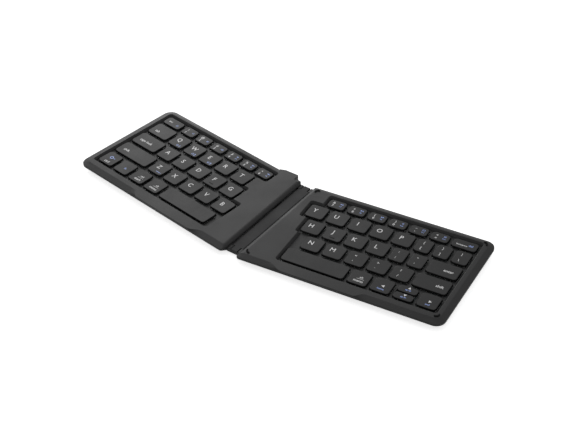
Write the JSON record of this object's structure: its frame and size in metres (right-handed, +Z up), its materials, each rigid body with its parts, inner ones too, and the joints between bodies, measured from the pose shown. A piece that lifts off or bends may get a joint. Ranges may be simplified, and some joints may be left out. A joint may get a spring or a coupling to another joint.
{
  "type": "folding pocket keyboard",
  "caption": "Thin dark two-part pocket keyboard with split slanted key rows that folds shut about a narrow central spine with two hinge lines.",
  "frame": {"origin": "on the desk under the middle of the open board: midway across its width and midway between its front and back ends", "axes": "+X to the right as typed on, +Y to the back edge away from the user, +Z up; the board lies open and flat"},
  "size_m": [0.29, 0.1018, 0.0068],
  "materials": {
    "dark_case": "fine soft-touch matte, dark grey",
    "bottom_case": "fine moulded matte, dark grey",
    "keycap": "matte, dark grey, legends in white and blue",
    "spine_plastic": "fine matte, near black",
    "rubber": "matte black rubber",
    "silicone": "translucent silicone",
    "scissor_plastic": "satin natural white",
    "film": "printed polyester film",
    "plate_metal": "stamped sheet steel",
    "rod_steel": "ground steel",
    "screw_steel": "black oxide",
    "magnet": "nickel plated",
    "port_steel": "drawn and plated sheet",
    "battery_foil": "foil pouch",
    "circuit_board": "green solder mask",
    "ribbon": "amber polyimide film"
  },
  "bodies": {
    "left_half": {"left_top_case": "dark_case", "left_bottom_case": "bottom_case", "left_support_plate": "plate_metal", "left_membrane": "film", "left_rubber_domes": "silicone", "left_scissors": "scissor_plastic", "left_rubber_feet": "rubber", "left_screws": "screw_steel", "left_magnets": "magnet", "left_hinge_rod": "rod_steel", "battery": "battery_foil", "main_board": "circuit_board", "charge_port": "port_steel"},
    "spine": {"spine_cover": "spine_plastic", "spine_base": "spine_plastic", "flex_cable": "ribbon"},
    "right_half": {"right_top_case": "dark_case", "right_bottom_case": "bottom_case", "right_support_plate": "plate_metal", "right_membrane": "film", "right_rubber_domes": "silicone", "right_scissors": "scissor_plastic", "right_rubber_feet": "rubber", "right_screws": "screw_steel", "right_magnets": "magnet", "right_hinge_rod": "rod_steel", "corner_bumpers": "rubber"},
    "key_q_cap": {"key_q": "keycap"},
    "key_w_cap": {"key_w": "keycap"},
    "key_e_cap": {"key_e": "keycap"},
    "key_r_cap": {"key_r": "keycap"},
    "key_t_cap": {"key_t": "keycap"},
    "key_a_cap": {"key_a": "keycap"},
    "key_s_cap": {"key_s": "keycap"},
    "key_d_cap": {"key_d": "keycap"},
    "key_f_cap": {"key_f": "keycap"},
    "key_g_cap": {"key_g": "keycap"},
    "key_z_cap": {"key_z": "keycap"},
    "key_x_cap": {"key_x": "keycap"},
    "key_c_cap": {"key_c": "keycap"},
    "key_v_cap": {"key_v": "keycap"},
    "key_b_cap": {"key_b": "keycap"},
    "left_space_key_cap": {"left_space_key": "keycap"},
    "left_modifier_caps": {"left_modifier_keys": "keycap"},
    "left_number_caps": {"left_number_keys": "keycap"},
    "key_y_cap": {"key_y": "keycap"},
    "key_u_cap": {"key_u": "keycap"},
    "key_i_cap": {"key_i": "keycap"},
    "key_o_cap": {"key_o": "keycap"},
    "key_p_cap": {"key_p": "keycap"},
    "key_h_cap": {"key_h": "keycap"},
    "key_j_cap": {"key_j": "keycap"},
    "key_k_cap": {"key_k": "keycap"},
    "key_l_cap": {"key_l": "keycap"},
    "key_n_cap": {"key_n": "keycap"},
    "key_m_cap": {"key_m": "keycap"},
    "right_space_key_cap": {"right_space_key": "keycap"},
    "right_modifier_caps": {"right_modifier_keys": "keycap"},
    "right_number_caps": {"right_number_keys": "keycap"},
    "punctuation_caps": {"punctuation_keys": "keycap"}
  },
  "joints": [
    {"name": "fold_left", "type": "hinge", "parent": "spine", "child": "left_half", "pos_m": [-0.00375, 0, 0.00285], "axis": [0, 1, 0], "range_deg": [0, 90], "deforming": ["flex_cable"]},
    {"name": "fold_right", "type": "hinge", "parent": "spine", "child": "right_half", "pos_m": [0.00375, 0, 0.00285], "axis": [0, -1, 0], "range_deg": [0, 90]},
    {"name": "key_q_press", "type": "slide", "parent": "left_half", "child": "key_q_cap", "axis": [0, 0, -1], "range_m": [0, 0.0012], "stiffness_N_per_m": 400},
    {"name": "key_w_press", "type": "slide", "parent": "left_half", "child": "key_w_cap", "axis": [0, 0, -1], "range_m": [0, 0.0012], "stiffness_N_per_m": 400},
    {"name": "key_e_press", "type": "slide", "parent": "left_half", "child": "key_e_cap", "axis": [0, 0, -1], "range_m": [0, 0.0012], "stiffness_N_per_m": 400},
    {"name": "key_r_press", "type": "slide", "parent": "left_half", "child": "key_r_cap", "axis": [0, 0, -1], "range_m": [0, 0.0012], "stiffness_N_per_m": 400},
    {"name": "key_t_press", "type": "slide", "parent": "left_half", "child": "key_t_cap", "axis": [0, 0, -1], "range_m": [0, 0.0012], "stiffness_N_per_m": 400},
    {"name": "key_a_press", "type": "slide", "parent": "left_half", "child": "key_a_cap", "axis": [0, 0, -1], "range_m": [0, 0.0012], "stiffness_N_per_m": 400},
    {"name": "key_s_press", "type": "slide", "parent": "left_half", "child": "key_s_cap", "axis": [0, 0, -1], "range_m": [0, 0.0012], "stiffness_N_per_m": 400},
    {"name": "key_d_press", "type": "slide", "parent": "left_half", "child": "key_d_cap", "axis": [0, 0, -1], "range_m": [0, 0.0012], "stiffness_N_per_m": 400},
    {"name": "key_f_press", "type": "slide", "parent": "left_half", "child": "key_f_cap", "axis": [0, 0, -1], "range_m": [0, 0.0012], "stiffness_N_per_m": 400},
    {"name": "key_g_press", "type": "slide", "parent": "left_half", "child": "key_g_cap", "axis": [0, 0, -1], "range_m": [0, 0.0012], "stiffness_N_per_m": 400},
    {"name": "key_z_press", "type": "slide", "parent": "left_half", "child": "key_z_cap", "axis": [0, 0, -1], "range_m": [0, 0.0012], "stiffness_N_per_m": 400},
    {"name": "key_x_press", "type": "slide", "parent": "left_half", "child": "key_x_cap", "axis": [0, 0, -1], "range_m": [0, 0.0012], "stiffness_N_per_m": 400},
    {"name": "key_c_press", "type": "slide", "parent": "left_half", "child": "key_c_cap", "axis": [0, 0, -1], "range_m": [0, 0.0012], "stiffness_N_per_m": 400},
    {"name": "key_v_press", "type": "slide", "parent": "left_half", "child": "key_v_cap", "axis": [0, 0, -1], "range_m": [0, 0.0012], "stiffness_N_per_m": 400},
    {"name": "key_b_press", "type": "slide", "parent": "left_half", "child": "key_b_cap", "axis": [0, 0, -1], "range_m": [0, 0.0012], "stiffness_N_per_m": 400},
    {"name": "key_left_space_press", "type": "slide", "parent": "left_half", "child": "left_space_key_cap", "axis": [0, 0, -1], "range_m": [0, 0.0012], "stiffness_N_per_m": 400},
    {"name": "key_left_modifier_press", "type": "slide", "parent": "left_half", "child": "left_modifier_caps", "axis": [0, 0, -1], "range_m": [0, 0.0012], "stiffness_N_per_m": 400, "deforming": ["left_rubber_domes", "left_scissors"]},
    {"name": "key_left_number_press", "type": "slide", "parent": "left_half", "child": "left_number_caps", "axis": [0, 0, -1], "range_m": [0, 0.0012], "stiffness_N_per_m": 400},
    {"name": "key_y_press", "type": "slide", "parent": "right_half", "child": "key_y_cap", "axis": [0, 0, -1], "range_m": [0, 0.0012], "stiffness_N_per_m": 400},
    {"name": "key_u_press", "type": "slide", "parent": "right_half", "child": "key_u_cap", "axis": [0, 0, -1], "range_m": [0, 0.0012], "stiffness_N_per_m": 400},
    {"name": "key_i_press", "type": "slide", "parent": "right_half", "child": "key_i_cap", "axis": [0, 0, -1], "range_m": [0, 0.0012], "stiffness_N_per_m": 400},
    {"name": "key_o_press", "type": "slide", "parent": "right_half", "child": "key_o_cap", "axis": [0, 0, -1], "range_m": [0, 0.0012], "stiffness_N_per_m": 400},
    {"name": "key_p_press", "type": "slide", "parent": "right_half", "child": "key_p_cap", "axis": [0, 0, -1], "range_m": [0, 0.0012], "stiffness_N_per_m": 400},
    {"name": "key_h_press", "type": "slide", "parent": "right_half", "child": "key_h_cap", "axis": [0, 0, -1], "range_m": [0, 0.0012], "stiffness_N_per_m": 400},
    {"name": "key_j_press", "type": "slide", "parent": "right_half", "child": "key_j_cap", "axis": [0, 0, -1], "range_m": [0, 0.0012], "stiffness_N_per_m": 400},
    {"name": "key_k_press", "type": "slide", "parent": "right_half", "child": "key_k_cap", "axis": [0, 0, -1], "range_m": [0, 0.0012], "stiffness_N_per_m": 400},
    {"name": "key_l_press", "type": "slide", "parent": "right_half", "child": "key_l_cap", "axis": [0, 0, -1], "range_m": [0, 0.0012], "stiffness_N_per_m": 400},
    {"name": "key_n_press", "type": "slide", "parent": "right_half", "child": "key_n_cap", "axis": [0, 0, -1], "range_m": [0, 0.0012], "stiffness_N_per_m": 400},
    {"name": "key_m_press", "type": "slide", "parent": "right_half", "child": "key_m_cap", "axis": [0, 0, -1], "range_m": [0, 0.0012], "stiffness_N_per_m": 400},
    {"name": "key_right_space_press", "type": "slide", "parent": "right_half", "child": "right_space_key_cap", "axis": [0, 0, -1], "range_m": [0, 0.0012], "stiffness_N_per_m": 400},
    {"name": "key_right_modifier_press", "type": "slide", "parent": "right_half", "child": "right_modifier_caps", "axis": [0, 0, -1], "range_m": [0, 0.0012], "stiffness_N_per_m": 400, "deforming": ["right_rubber_domes", "right_scissors"]},
    {"name": "key_right_number_press", "type": "slide", "parent": "right_half", "child": "right_number_caps", "axis": [0, 0, -1], "range_m": [0, 0.0012], "stiffness_N_per_m": 400},
    {"name": "key_punctuation_press", "type": "slide", "parent": "right_half", "child": "punctuation_caps", "axis": [0, 0, -1], "range_m": [0, 0.0012], "stiffness_N_per_m": 400}
  ],
  "couplings": [
    {"joint": "fold_right", "follows": "fold_left", "ratio": 1}
  ]
}
